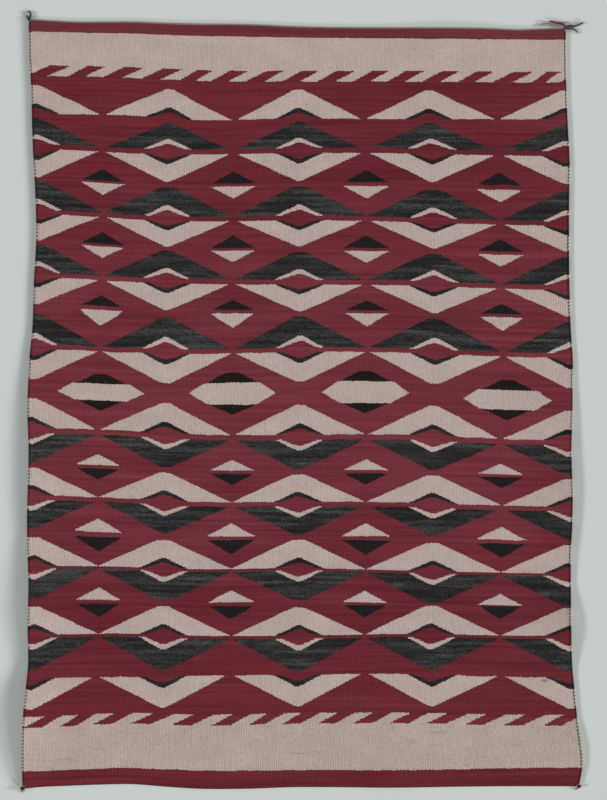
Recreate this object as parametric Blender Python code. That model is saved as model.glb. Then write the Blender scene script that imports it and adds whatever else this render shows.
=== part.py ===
"""A hand-woven wool rug lying flat: the woven field, its twisted edge cords and its four corner knots.

Metres, +Z up. +Y runs towards the rug's top end, and the origin is the centre of the underside.
"""

from typing import NamedTuple

import bmesh
import bpy
import numpy as np

MM = 0.001
GAP = 0.3 * MM

# The woven field: its nominal size, over which the stations below are read
NOMINAL_WIDTH = 1300 * MM
NOMINAL_LENGTH = 1828 * MM
THICKNESS = 4.0 * MM
UNEVENNESS = 0.35 * MM
LONGEST_CELL = 76 * MM
EDGE_LINES = (0.0, 8 * MM, 45 * MM, 85 * MM, 130 * MM)
CORNER_CUT = 4.0 * MM
RIPPLE_INSET = 130 * MM

# The cords
SIDE_CORD_RADIUS = 2.5 * MM
END_CORD_RADIUS = 2.1 * MM

# The corner knots
KNOT_SEGMENTS = 10
KNOT_RINGS = 7
KNOT_FLAT = 0.82
STRAND_ROOT = 0.55


class SideStation(NamedTuple):
    """How far the rug's outer sides lie from its centre line, at a height from its middle, in mm."""

    height: float
    left: float
    right: float


class EndStation(NamedTuple):
    """How far the rug's outer ends lie from its middle, at a place across it, in mm."""

    place: float
    bottom: float
    top: float


class Ripple(NamedTuple):
    """A low wave at one edge: its middle and reach as shares of that edge, and its height in mm."""

    edge: str
    middle: float
    reach: float
    height: float


class Strand(NamedTuple):
    """A loose yarn end: its (x, y) points from its knot's middle and its thickness, in mm."""

    points: tuple
    thickness: float


class Knot(NamedTuple):
    """A corner knot: the corner it closes, as shares across and along, its sizes in mm and its yarn ends."""

    across: int
    along: int
    half_width: float
    half_length: float
    height: float
    colour: tuple
    strands: tuple


SIDES = (
    SideStation(height=-914, left=668, right=672),
    SideStation(height=-864, left=669, right=680),
    SideStation(height=-806, left=669, right=675),
    SideStation(height=-749, left=666, right=667),
    SideStation(height=-691, left=661, right=662),
    SideStation(height=-634, left=655, right=656),
    SideStation(height=-518, left=655, right=652),
    SideStation(height=-432, left=653, right=652),
    SideStation(height=-346, left=656, right=652),
    SideStation(height=-288, left=657, right=655),
    SideStation(height=-202, left=655, right=656),
    SideStation(height=-115, left=653, right=653),
    SideStation(height=0, left=656, right=656),
    SideStation(height=58, left=654, right=656),
    SideStation(height=115, left=651, right=657),
    SideStation(height=173, left=645, right=653),
    SideStation(height=288, left=641, right=649),
    SideStation(height=403, left=635, right=648),
    SideStation(height=490, left=637, right=648),
    SideStation(height=605, left=643, right=649),
    SideStation(height=662, left=645, right=646),
    SideStation(height=749, left=647, right=642),
    SideStation(height=835, left=652, right=640),
    SideStation(height=914, left=653, right=640),
)
ENDS = (
    EndStation(place=-650, bottom=922, top=928),
    EndStation(place=-600, bottom=918, top=925),
    EndStation(place=-547, bottom=916, top=922),
    EndStation(place=-470, bottom=913, top=922),
    EndStation(place=-394, bottom=912, top=922),
    EndStation(place=-317, bottom=918, top=919),
    EndStation(place=-240, bottom=923, top=917),
    EndStation(place=-125, bottom=923, top=916),
    EndStation(place=-10, bottom=919, top=911),
    EndStation(place=67, bottom=919, top=909),
    EndStation(place=221, bottom=920, top=908),
    EndStation(place=374, bottom=918, top=907),
    EndStation(place=490, bottom=917, top=905),
    EndStation(place=528, bottom=917, top=903),
    EndStation(place=586, bottom=917, top=905),
    EndStation(place=650, bottom=917, top=907),
)
RIPPLES = (
    Ripple(edge="left", middle=0.09, reach=0.12, height=12.0),
    Ripple(edge="left", middle=0.24, reach=0.16, height=8.5),
    Ripple(edge="left", middle=0.42, reach=0.20, height=6.0),
    Ripple(edge="right", middle=0.05, reach=0.05, height=3.0),
    Ripple(edge="right", middle=0.21, reach=0.07, height=9.0),
    Ripple(edge="right", middle=0.40, reach=0.18, height=6.5),
    Ripple(edge="bottom", middle=0.65, reach=0.13, height=3.5),
    Ripple(edge="top", middle=0.80, reach=0.15, height=3.0),
)

DARK_WOOL = (0.030, 0.029, 0.031)
RED_WOOL = (0.180, 0.028, 0.040)

KNOTS = {
    "corner_tuft_top_left": Knot(
        across=0,
        along=1,
        half_width=4.0,
        half_length=4.4,
        height=6.0,
        colour=DARK_WOOL,
        strands=(
            Strand(points=((0, 0), (3.5, 7.5), (4.2, 12.5), (2.0, 17.5), (-2.8, 19.5)), thickness=5.0),
            Strand(points=((0, 0), (-4.2, 4.6), (-6.8, 8.4)), thickness=4.2),
        ),
    ),
    "corner_tassel_top_right": Knot(
        across=1,
        along=1,
        half_width=4.6,
        half_length=6.0,
        height=7.0,
        colour=RED_WOOL,
        strands=(
            Strand(points=((0, 1), (-8, 9.5), (-20, 11.5), (-30, 14.5), (-38, 16.0)), thickness=5.4),
            Strand(
                points=((0, 2), (-6, 5.8), (-20, 5.2), (-34, 5.4), (-45, 9.5), (-56, 9.8), (-64, 5.6)),
                thickness=4.0,
            ),
            Strand(points=((0, 1), (9, 4.5), (19, 3.5), (30, 7.5), (42, 13.5)), thickness=4.8),
            Strand(points=((0, -1), (9, -1.5), (18, -2.5), (25, -6.0), (29, -10.5)), thickness=4.2),
            Strand(points=((-1, 1), (-2.5, 9.5), (-0.5, 14.5), (4.0, 13.0)), thickness=3.4),
        ),
    ),
    "corner_knot_bottom_left": Knot(
        across=0,
        along=0,
        half_width=6.4,
        half_length=6.0,
        height=9.0,
        colour=DARK_WOOL,
        strands=(Strand(points=((0, 0), (-3.0, -5.5), (-1.0, -9.0)), thickness=2.6),),
    ),
    "corner_knot_bottom_right": Knot(
        across=1,
        along=0,
        half_width=5.6,
        half_length=5.2,
        height=8.0,
        colour=RED_WOOL,
        strands=(Strand(points=((0, 0), (-3.5, -5.0), (-7.5, -7.0)), thickness=3.2),),
    ),
}


def clear_scene():
    """Removes whatever the scene holds."""
    for obj in list(bpy.data.objects):
        bpy.data.objects.remove(obj, do_unlink=True)


def wool(name, colour, roughness=0.95):
    """A plain wool material."""
    material = bpy.data.materials.new(name)
    material.use_nodes = True
    shader = material.node_tree.nodes["Principled BSDF"]
    shader.inputs["Base Color"].default_value = (*colour, 1.0)
    shader.inputs["Roughness"].default_value = roughness
    shader.inputs["Metallic"].default_value = 0.0
    return material


def smooth_through(stations, values, places):
    """Reads a smooth curve through the stations' values, at the given places."""
    at = np.asarray(stations, float)
    value = np.asarray(values, float)
    slope = np.gradient(value, at)
    places = np.clip(places, at[0], at[-1])
    first = np.clip(np.searchsorted(at, places) - 1, 0, len(at) - 2)
    span = at[first + 1] - at[first]
    part = (places - at[first]) / span
    rest = 1 - part
    ends = value[first] * (1 + 2 * part) * rest**2 + value[first + 1] * part**2 * (3 - 2 * part)
    bends = span * (slope[first] * part * rest**2 - slope[first + 1] * part**2 * rest)
    return ends + bends


def field_sides(height):
    """The field's left and right x at a height from the rug's middle, inside the side cords."""
    inside = 2 * SIDE_CORD_RADIUS + GAP
    heights = [row.height * MM for row in SIDES]
    left = inside - smooth_through(heights, [row.left * MM for row in SIDES], height)
    right = smooth_through(heights, [row.right * MM for row in SIDES], height) - inside
    return left, right


def field_ends(place):
    """The field's bottom and top y at a place across the rug, inside the end cords."""
    inside = 2 * END_CORD_RADIUS + GAP
    places = [row.place * MM for row in ENDS]
    bottom = inside - smooth_through(places, [row.bottom * MM for row in ENDS], place)
    top = smooth_through(places, [row.top * MM for row in ENDS], place) - inside
    return bottom, top


def cloth_point(across, along):
    """Where a share across and along the field lies on the floor plan."""
    bottom, top = field_ends((across - 0.5) * NOMINAL_WIDTH)
    y = bottom + along * (top - bottom)
    left, right = field_sides((along - 0.5) * NOMINAL_LENGTH)
    return left + across * (right - left), y


def edge_lift(across, along):
    """How far the rippled edges stand off the floor."""
    across, along = np.broadcast_arrays(np.asarray(across, float), np.asarray(along, float))
    lift = np.zeros(across.shape)
    for ripple in RIPPLES:
        runs_along = ripple.edge in ("left", "right")
        place = along if runs_along else across
        inward = across if runs_along else along
        from_edge = inward if ripple.edge in ("left", "bottom") else 1 - inward
        size = NOMINAL_WIDTH if runs_along else NOMINAL_LENGTH
        nearness = np.clip(1 - from_edge * size / RIPPLE_INSET, 0, 1)
        bell = 0.5 + 0.5 * np.cos(np.pi * np.clip(np.abs(place - ripple.middle) / ripple.reach, 0, 1))
        lift = np.maximum(lift, ripple.height * MM * bell * nearness**2)
    return lift


def grid_lines(size):
    """Shares of a side where the field's grid lines run, closer at the edges."""
    inner = EDGE_LINES[-1]
    cells = int(np.ceil((size - 2 * inner) / LONGEST_CELL))
    near = np.array(EDGE_LINES[:-1])
    middle = np.linspace(inner, size - inner, cells + 1)
    return np.concatenate([near, middle, size - near[::-1]]) / size


ACROSS_LINES = grid_lines(NOMINAL_WIDTH)
ALONG_LINES = grid_lines(NOMINAL_LENGTH)


def new_object(name, data, material, parent):
    """Puts an object with its own material under the rug's empty."""
    obj = bpy.data.objects.new(name, data)
    bpy.context.scene.collection.objects.link(obj)
    obj.data.materials.append(material)
    obj.parent = parent
    return obj


def woven_field(parent):
    """The cloth: a thin uneven slab with rippled edges and a flat underside between them."""
    across, along = np.meshgrid(ACROSS_LINES, ALONG_LINES)
    x, y = cloth_point(across, along)
    for row, up in ((0, 1), (-1, -1)):
        for column, inward in ((0, 1), (-1, -1)):
            x[row, column] += inward * CORNER_CUT
            y[row, column] += up * CORNER_CUT
    lift = edge_lift(across, along)
    waves = np.sin(9.1 * across + 2.3 * along) * np.cos(13.7 * along - 3.1 * across)
    mesh = bmesh.new()
    under = [[mesh.verts.new(p) for p in zip(*row)] for row in zip(x, y, lift)]
    over = [[mesh.verts.new(p) for p in zip(*row)] for row in zip(x, y, lift + THICKNESS + UNEVENNESS * waves)]
    rows, columns = x.shape
    for j in range(rows - 1):
        for i in range(columns - 1):
            mesh.faces.new((over[j][i], over[j][i + 1], over[j + 1][i + 1], over[j + 1][i]))
            mesh.faces.new((under[j][i], under[j + 1][i], under[j + 1][i + 1], under[j][i + 1]))
    rim = [(0, i) for i in range(columns - 1)]
    rim += [(j, columns - 1) for j in range(rows - 1)]
    rim += [(rows - 1, i) for i in range(columns - 1, 0, -1)]
    rim += [(j, 0) for j in range(rows - 1, 0, -1)]
    for (j, i), (next_j, next_i) in zip(rim, rim[1:] + rim[:1]):
        mesh.faces.new((under[j][i], under[next_j][next_i], over[next_j][next_i], over[j][i]))
    data = bpy.data.meshes.new("woven_field")
    mesh.to_mesh(data)
    mesh.free()
    data.shade_smooth()
    data.set_sharp_from_angle(angle=np.radians(40))
    return new_object("woven_field", data, wool("field_wool", RED_WOOL), parent)


def knot_middle(knot):
    """The floor point of the corner where two cords meet."""
    x, y = cloth_point(float(knot.across), float(knot.along))
    outward_x = 1 if knot.across else -1
    outward_y = 1 if knot.along else -1
    return (
        float(x) + outward_x * (GAP + SIDE_CORD_RADIUS),
        float(y) + outward_y * (GAP + END_CORD_RADIUS),
    )


def knot_at(across, along):
    """The knot of one corner."""
    return next(k for k in KNOTS.values() if (k.across, k.along) == (across, along))


def cord_route(across, along, radius):
    """Points beside the field's edge, in the order of the shares given."""
    x, y = cloth_point(across, along)
    runs = np.gradient(np.stack([x, y], axis=1), axis=0)
    runs /= np.linalg.norm(runs, axis=1)[:, None]
    outward = np.stack([runs[:, 1], -runs[:, 0]], axis=1)
    middle = np.stack([x, y], axis=1) + outward * (GAP + radius)
    return np.column_stack([middle, edge_lift(across, along) + radius])


def cord(name, route, radius, colour, parent):
    """One edge cord as a plain tube along its route."""
    data = bpy.data.curves.new(name, "CURVE")
    data.dimensions = "3D"
    data.bevel_depth = radius
    data.bevel_resolution = 2
    data.use_fill_caps = True
    spline = data.splines.new("POLY")
    spline.points.add(len(route) - 1)
    for point, place in zip(spline.points, route):
        point.co = (*place, 1.0)
        point.radius = 1.0
    return new_object(name, data, wool(f"{name}_wool", colour), parent)


def side_cord(name, across, colour, parent):
    """A cord down one long side, from the bottom corner's knot to the top one's."""
    first = knot_at(across, 0).half_length * MM - END_CORD_RADIUS
    last = knot_at(across, 1).half_length * MM - END_CORD_RADIUS
    along = np.concatenate([[first / NOMINAL_LENGTH], ALONG_LINES[1:-1], [1 - last / NOMINAL_LENGTH]])
    if not across:
        along = along[::-1]
    route = cord_route(np.full(len(along), float(across)), along, SIDE_CORD_RADIUS)
    return cord(name, route, SIDE_CORD_RADIUS, colour, parent)


def end_cord(name, along, colour, parent):
    """A cord across one end, from the left corner's knot to the right one's."""
    first = knot_at(0, along).half_width * MM - SIDE_CORD_RADIUS
    last = knot_at(1, along).half_width * MM - SIDE_CORD_RADIUS
    across = np.concatenate([[first / NOMINAL_WIDTH], ACROSS_LINES[1:-1], [1 - last / NOMINAL_WIDTH]])
    if along:
        across = across[::-1]
    route = cord_route(across, np.full(len(across), float(along)), END_CORD_RADIUS)
    return cord(name, route, END_CORD_RADIUS, colour, parent)


def knot_lump(knot):
    """The knot itself: a rounded lump with a small flat under it."""
    mesh = bmesh.new()
    bmesh.ops.create_uvsphere(mesh, u_segments=KNOT_SEGMENTS, v_segments=KNOT_RINGS, radius=1.0)
    half_height = knot.height * MM / (1 + KNOT_FLAT)
    for vert in mesh.verts:
        vert.co.x *= knot.half_width * MM
        vert.co.y *= knot.half_length * MM
        vert.co.z = (max(vert.co.z, -KNOT_FLAT) + KNOT_FLAT) * half_height
    return mesh


def strand_mesh(strand, root_height):
    """A four-sided yarn end that leaves its knot and comes down to lie on the floor."""
    half = strand.thickness * MM / 2
    plan = np.array(strand.points, float) * MM
    heights = np.full(len(plan), half)
    heights[0] = root_height
    runs = np.gradient(plan, axis=0)
    runs /= np.linalg.norm(runs, axis=1)[:, None]
    beside = np.stack([-runs[:, 1], runs[:, 0]], axis=1) * half
    mesh = bmesh.new()
    rings = []
    for place, side, height in zip(plan, beside, heights):
        corners = ((-1, -1), (1, -1), (1, 1), (-1, 1))
        ring = [mesh.verts.new((*(place + s * side), height + h * half)) for s, h in corners]
        rings.append(ring)
    for ring, following in zip(rings, rings[1:]):
        for k in range(4):
            following_k = (k + 1) % 4
            mesh.faces.new((ring[k], ring[following_k], following[following_k], following[k]))
    mesh.faces.new(rings[0])
    mesh.faces.new(rings[-1])
    bmesh.ops.recalc_face_normals(mesh, faces=mesh.faces)
    return mesh


def corner_knot(name, knot, parent):
    """A knot fused to the roots of its loose yarn ends, standing at its corner."""
    material = wool(f"{name}_wool", knot.colour)
    lump = knot_lump(knot)
    data = bpy.data.meshes.new(name)
    lump.to_mesh(data)
    lump.free()
    data.shade_smooth()
    obj = new_object(name, data, material, parent)
    obj.location = (*knot_middle(knot), 0.0)
    for number, strand in enumerate(knot.strands, 1):
        loose = strand_mesh(strand, knot.height * MM * STRAND_ROOT)
        strand_data = bpy.data.meshes.new(f"{name}_strand_{number}")
        loose.to_mesh(strand_data)
        loose.free()
        helper = new_object(f"{name}_strand_{number}", strand_data, material, obj)
        helper.hide_render = True
        helper.display_type = "WIRE"
        union = obj.modifiers.new(f"strand_{number}", "BOOLEAN")
        union.operation = "UNION"
        union.object = helper
    return obj


def main():
    """Builds the rug."""
    clear_scene()
    rug = bpy.data.objects.new("rug", None)
    bpy.context.scene.collection.objects.link(rug)
    woven_field(rug)
    side_cord("side_cord_left", 0, DARK_WOOL, rug)
    side_cord("side_cord_right", 1, DARK_WOOL, rug)
    end_cord("end_cord_bottom", 0, RED_WOOL, rug)
    end_cord("end_cord_top", 1, RED_WOOL, rug)
    for name, knot in KNOTS.items():
        corner_knot(name, knot, rug)


main()
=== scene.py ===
"""A hand-woven wool rug laid flat: its chart of triangles, its twisted edge cords and its four corner knots.

Metres, +Z up. +Y runs towards the rug's top end, and the origin is the centre of the underside.
Numbers are kept on every point of the wool, and the materials read the pattern from them. "warp"
is counted from the left side, and "chart" is the height on the weaving chart in mm from its middle.
"turn" and "tooth" count the triangles and the teeth across the rug, and "foot", "hexagon",
"black_eye" and "pale_eye" say how the shapes of that row and place were woven.
"""

from __future__ import annotations

import logging
import math
from dataclasses import dataclass, field
from enum import Enum
from typing import NamedTuple

import bmesh
import bpy
import numpy as np
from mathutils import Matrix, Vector

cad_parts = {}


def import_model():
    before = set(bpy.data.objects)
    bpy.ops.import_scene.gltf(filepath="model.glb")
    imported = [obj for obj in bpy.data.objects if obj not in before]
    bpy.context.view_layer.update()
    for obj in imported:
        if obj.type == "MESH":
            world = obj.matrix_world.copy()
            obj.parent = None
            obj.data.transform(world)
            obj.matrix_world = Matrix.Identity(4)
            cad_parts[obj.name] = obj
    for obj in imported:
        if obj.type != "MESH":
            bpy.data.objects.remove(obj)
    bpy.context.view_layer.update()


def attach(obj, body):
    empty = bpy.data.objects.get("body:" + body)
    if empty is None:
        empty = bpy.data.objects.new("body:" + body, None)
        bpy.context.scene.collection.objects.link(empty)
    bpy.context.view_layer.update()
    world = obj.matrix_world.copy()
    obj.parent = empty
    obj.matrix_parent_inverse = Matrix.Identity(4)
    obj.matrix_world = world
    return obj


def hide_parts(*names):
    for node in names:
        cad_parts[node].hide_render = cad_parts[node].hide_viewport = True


LOG = logging.getLogger("rug")
MM = 0.001
GAP = 0.3 * MM
BAKE_MAP = "OFBake"
WOOL_SPECULAR = 0.1
SHEEN_ROUGHNESS = 0.6

WARPS = 311
WARP_PITCH = 4.2
WEFT_PAIR = 1.9

Colour = tuple[float, float, float]


class SideStation(NamedTuple):
    """How far the rug's outer sides lie from its centre line, at a height from its middle, in mm."""

    height: float
    left: float
    right: float


class EndStation(NamedTuple):
    """How far the rug's outer ends lie from its middle, at a place across it, in mm."""

    place: float
    bottom: float
    top: float


class Ripple(NamedTuple):
    """A low wave at one edge: its middle and reach as shares of that edge, and its height in mm."""

    edge: str
    middle: float
    reach: float
    height: float


class ChartLine(NamedTuple):
    """A red line of the chart.

    It gives where the line lies on the rug at each place, how thick it is, and how far its triangles reach.
    """

    chart: float
    heights: tuple[float, ...]
    thickness: float
    above: float
    below: float


class ChartRow(NamedTuple):
    """Any other row of the chart, and where it lies on the rug at each place, in mm."""

    chart: float
    heights: tuple[float, ...]


class TriangleRow(NamedTuple):
    """How one line's triangles stand: their five apexes in mm, and half their feet's width in warps."""

    chart: float
    apexes: tuple[float, ...]
    above: float
    below: float


class EyeRow(NamedTuple):
    """The eyes between two lines.

    It gives each wedge's half width in warps and its reach, and the row's rise, on the chart.
    """

    chart: float
    black_half: float
    black_reach: float
    pale_half: float
    pale_reach: float
    rise: float = 0.0


class HexagonPlace(NamedTuple):
    """How one hexagon lies: its shift in warps, and its drop and pale body's half height on the chart."""

    shift: float
    drop: float
    pale_half: float


class Strand(NamedTuple):
    """A loose yarn end.

    It gives the (x, y) points from its knot's middle and its thickness, in mm.
    Its wool is given where it isn't the knot's.
    """

    points: tuple[tuple[float, float], ...]
    thickness: float
    wool: Wool | None = None


SIDES = (
    SideStation(height=-914, left=668, right=672),
    SideStation(height=-864, left=669, right=680),
    SideStation(height=-806, left=669, right=675),
    SideStation(height=-749, left=666, right=667),
    SideStation(height=-691, left=661, right=662),
    SideStation(height=-634, left=655, right=656),
    SideStation(height=-518, left=655, right=652),
    SideStation(height=-432, left=653, right=652),
    SideStation(height=-346, left=656, right=652),
    SideStation(height=-288, left=657, right=655),
    SideStation(height=-202, left=655, right=656),
    SideStation(height=-115, left=653, right=653),
    SideStation(height=0, left=656, right=656),
    SideStation(height=58, left=654, right=656),
    SideStation(height=115, left=651, right=657),
    SideStation(height=173, left=645, right=653),
    SideStation(height=288, left=641, right=649),
    SideStation(height=403, left=635, right=648),
    SideStation(height=490, left=637, right=648),
    SideStation(height=605, left=643, right=649),
    SideStation(height=662, left=645, right=646),
    SideStation(height=749, left=647, right=642),
    SideStation(height=835, left=652, right=640),
    SideStation(height=914, left=653, right=640),
)
ENDS = (
    EndStation(place=-650, bottom=922, top=928),
    EndStation(place=-600, bottom=918, top=925),
    EndStation(place=-547, bottom=916, top=922),
    EndStation(place=-470, bottom=913, top=922),
    EndStation(place=-394, bottom=912, top=922),
    EndStation(place=-317, bottom=918, top=919),
    EndStation(place=-240, bottom=923, top=917),
    EndStation(place=-125, bottom=923, top=916),
    EndStation(place=-10, bottom=919, top=911),
    EndStation(place=67, bottom=919, top=909),
    EndStation(place=221, bottom=920, top=908),
    EndStation(place=374, bottom=918, top=907),
    EndStation(place=490, bottom=917, top=905),
    EndStation(place=528, bottom=917, top=903),
    EndStation(place=586, bottom=917, top=905),
    EndStation(place=650, bottom=917, top=907),
)
RIPPLES = (
    Ripple(edge="left", middle=0.09, reach=0.12, height=12.0),
    Ripple(edge="left", middle=0.24, reach=0.16, height=8.5),
    Ripple(edge="left", middle=0.42, reach=0.20, height=6.0),
    Ripple(edge="right", middle=0.05, reach=0.05, height=3.0),
    Ripple(edge="right", middle=0.21, reach=0.07, height=9.0),
    Ripple(edge="right", middle=0.40, reach=0.18, height=6.5),
    Ripple(edge="bottom", middle=0.65, reach=0.13, height=3.5),
    Ripple(edge="top", middle=0.80, reach=0.15, height=3.0),
)

# Where the chart's lines lie on the rug, in mm, at these places across it
PLACES = (-576.0, -432.0, -240.0, 0.0, 240.0, 528.0)
LINES = (
    ChartLine(591.5, (618, 611, 607, 611, 610, 604), thickness=12, above=64, below=67),
    ChartLine(428.5, (461, 452, 446, 449, 445, 437), thickness=11, above=70, below=62),
    ChartLine(265.5, (311, 302, 296, 295, 293, 284), thickness=12, above=67, below=64),
    ChartLine(102.5, (138, 132, 128, 133, 131, 120), thickness=11, above=75, below=71),
    ChartLine(-102.5, (-62, -67, -77, -77, -77, -89), thickness=13, above=71, below=70),
    ChartLine(-265.5, (-223, -229, -238, -238, -239, -248), thickness=11, above=66, below=68),
    ChartLine(-428.5, (-389, -391, -397, -394, -400, -406), thickness=6, above=67, below=71),
    ChartLine(-591.5, (-554, -552, -557, -557, -553, -557), thickness=7, above=68, below=78),
)
OTHER_ROWS = (
    ChartRow(890, (895, 892, 886, 882, 880, 877)),
    ChartRow(798, (815, 812, 804, 802, 802, 800)),
    ChartRow(777, (789, 786, 778, 776, 776, 774)),
    ChartRow(748, (767, 765, 753, 757, 755, 755)),
    ChartRow(678, (698, 696, 684, 688, 686, 686)),
    ChartRow(-678, (-655, -653, -650, -647, -646, -653)),
    ChartRow(-748, (-730, -727, -726, -723, -722, -728)),
    ChartRow(-777, (-746, -739, -743, -739, -738, -743)),
    ChartRow(-798, (-772, -765, -769, -765, -764, -769)),
    ChartRow(-890, (-877, -871, -877, -876, -876, -871)),
)

TRIANGLE_ROWS = (
    TriangleRow(-678.0, (-647, -330, -6, 316, 650), above=36.2, below=36.2),
    TriangleRow(-591.5, (-638, -329, -2, 312, 648), above=38.0, below=37.7),
    TriangleRow(-428.5, (-639, -328, -3, 318, 644), above=38.8, below=38.5),
    TriangleRow(-265.5, (-645, -325, -5, 319, 651), above=38.2, below=36.7),
    TriangleRow(-102.5, (-646, -323, -1, 319, 642), above=37.3, below=37.2),
    TriangleRow(102.5, (-638, -322, 0, 324, 652), above=37.5, below=37.3),
    TriangleRow(265.5, (-629, -321, -2, 321, 642), above=37.7, below=36.3),
    TriangleRow(428.5, (-626, -319, -2, 321, 640), above=38.5, below=36.0),
    TriangleRow(591.5, (-632, -318, -2, 317, 637), above=36.0, below=36.0),
    TriangleRow(678.0, (-635, -312, -4, 309, 636), above=37.1, below=37.1),
)
# The chart heights between which each row of triangles, and each row of eyes, holds
TRIANGLE_BOUNDS = (-672.0, -510.0, -347.0, -184.0, 0.0, 184.0, 347.0, 510.0, 672.0)
EYE_BOUNDS = (-428.5, -265.5, 0.0, 265.5, 428.5)
EYE_ROWS = (
    EyeRow(-510.0, black_half=12.2, black_reach=31.6, pale_half=13.1, pale_reach=28.0),
    EyeRow(-347.0, black_half=13.7, black_reach=36.0, pale_half=13.8, pale_reach=31.6),
    EyeRow(-184.0, black_half=12.4, black_reach=29.0, pale_half=12.8, pale_reach=25.4),
    EyeRow(184.0, black_half=12.1, black_reach=27.0, pale_half=12.4, pale_reach=31.0, rise=5.8),
    EyeRow(347.0, black_half=13.2, black_reach=34.2, pale_half=13.1, pale_reach=29.0),
    EyeRow(510.0, black_half=12.5, black_reach=30.0, pale_half=13.0, pale_reach=29.0),
)

# Where each tooth's foot starts, in mm across the rug: its left end at the top, its right end at the bottom
TOP_TEETH = (-657, -558, -474, -380, -289, -215, -131, -44, 40, 126, 208, 292, 378, 460, 555, 620)
BOTTOM_TEETH = (-570, -491, -400, -302, -206, -117, -38, 49, 133, 222, 310, 402, 495, 589, 678)
TOOTH_PITCH = 86

# The hexagons from the left
HEXAGONS = (
    HexagonPlace(shift=1.1, drop=4.3, pale_half=24.2),
    HexagonPlace(shift=-0.3, drop=-1.3, pale_half=27.2),
    HexagonPlace(shift=-0.9, drop=-2.4, pale_half=26.1),
    HexagonPlace(shift=3.2, drop=5.0, pale_half=23.5),
)


class Side(Enum):
    """A long side of the rug, as a share across it."""

    LEFT = 0
    RIGHT = 1


class End(Enum):
    """An end of the rug, as a share along it."""

    BOTTOM = 0
    TOP = 1


def smooth_through(stations: np.ndarray, values: np.ndarray, places: np.ndarray) -> np.ndarray:
    """Reads a smooth curve through the stations' values.

    Args:
        stations: Where the values are given, in rising order.
        values: The values there.
        places: Where the curve is read.

    Returns:
        The curve's value at each place.
    """
    at = np.asarray(stations, float)
    value = np.asarray(values, float)
    slope = np.gradient(value, at)
    places = np.clip(places, at[0], at[-1])
    first = np.clip(np.searchsorted(at, places) - 1, 0, len(at) - 2)
    span = at[first + 1] - at[first]
    part = (places - at[first]) / span
    rest = 1 - part
    ends = value[first] * (1 + 2 * part) * rest**2 + value[first + 1] * part**2 * (3 - 2 * part)
    bends = span * (slope[first] * part * rest**2 - slope[first + 1] * part**2 * rest)
    return ends + bends


def unit(vectors: np.ndarray) -> np.ndarray:
    """Brings each row to length one."""
    return vectors / np.linalg.norm(vectors, axis=-1, keepdims=True)


@dataclass(frozen=True)
class ClothPlan:
    """Where the shares across and along the cloth lie on the floor, and how high its edges ripple."""

    nominal_width: float = 1300 * MM
    nominal_length: float = 1828 * MM
    thickness: float = 4.0 * MM
    unevenness: float = 0.35 * MM
    ripple_inset: float = 130 * MM
    side_cord_radius: float = 2.5 * MM
    end_cord_radius: float = 2.1 * MM

    def sides(self, height: np.ndarray) -> tuple[np.ndarray, np.ndarray]:
        """The cloth's left and right x at a height from the rug's middle.

        Args:
            height: Distances from the middle, towards the top end.

        Returns:
            The left and the right x, inside the side cords.
        """
        inside = 2 * self.side_cord_radius + GAP
        heights = [row.height * MM for row in SIDES]
        left = inside - smooth_through(heights, [row.left * MM for row in SIDES], height)
        right = smooth_through(heights, [row.right * MM for row in SIDES], height) - inside
        return left, right

    def ends(self, place: np.ndarray) -> tuple[np.ndarray, np.ndarray]:
        """The cloth's bottom and top y at a place across the rug.

        Args:
            place: Distances from the centre line, towards the right.

        Returns:
            The bottom and the top y, inside the end cords.
        """
        inside = 2 * self.end_cord_radius + GAP
        places = [row.place * MM for row in ENDS]
        bottom = inside - smooth_through(places, [row.bottom * MM for row in ENDS], place)
        top = smooth_through(places, [row.top * MM for row in ENDS], place) - inside
        return bottom, top

    def point(self, across: np.ndarray, along: np.ndarray) -> tuple[np.ndarray, np.ndarray]:
        """Where shares across and along the cloth lie on the floor plan.

        Args:
            across: Shares from the left side.
            along: Shares from the bottom end.

        Returns:
            The x and y of each pair of shares.
        """
        bottom, top = self.ends((across - 0.5) * self.nominal_width)
        y = bottom + along * (top - bottom)
        left, right = self.sides((along - 0.5) * self.nominal_length)
        return left + across * (right - left), y

    def share_along(self, across: np.ndarray, y: np.ndarray) -> np.ndarray:
        """The share along the cloth of a y, at a share across it."""
        bottom, top = self.ends((across - 0.5) * self.nominal_width)
        return (y - bottom) / (top - bottom)

    def lift(self, across: np.ndarray, along: np.ndarray) -> np.ndarray:
        """How far the rippled edges stand off the floor.

        Args:
            across: Shares from the left side.
            along: Shares from the bottom end.

        Returns:
            The underside's height at each pair of shares.
        """
        across, along = np.broadcast_arrays(np.asarray(across, float), np.asarray(along, float))
        lift = np.zeros(across.shape)
        for ripple in RIPPLES:
            runs_along = ripple.edge in ("left", "right")
            place = along if runs_along else across
            inward = across if runs_along else along
            from_edge = inward if ripple.edge in ("left", "bottom") else 1 - inward
            size = self.nominal_width if runs_along else self.nominal_length
            nearness = np.clip(1 - from_edge * size / self.ripple_inset, 0, 1)
            swing = np.clip(np.abs(place - ripple.middle) / ripple.reach, 0, 1)
            bell = 0.5 + 0.5 * np.cos(np.pi * swing)
            lift = np.maximum(lift, ripple.height * MM * bell * nearness**2)
        return lift

    def surface(self, across: np.ndarray, along: np.ndarray) -> np.ndarray:
        """The height of the cloth's upper side."""
        waves = np.sin(9.1 * across + 2.3 * along) * np.cos(13.7 * along - 3.1 * across)
        return self.lift(across, along) + self.thickness + self.unevenness * waves


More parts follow.
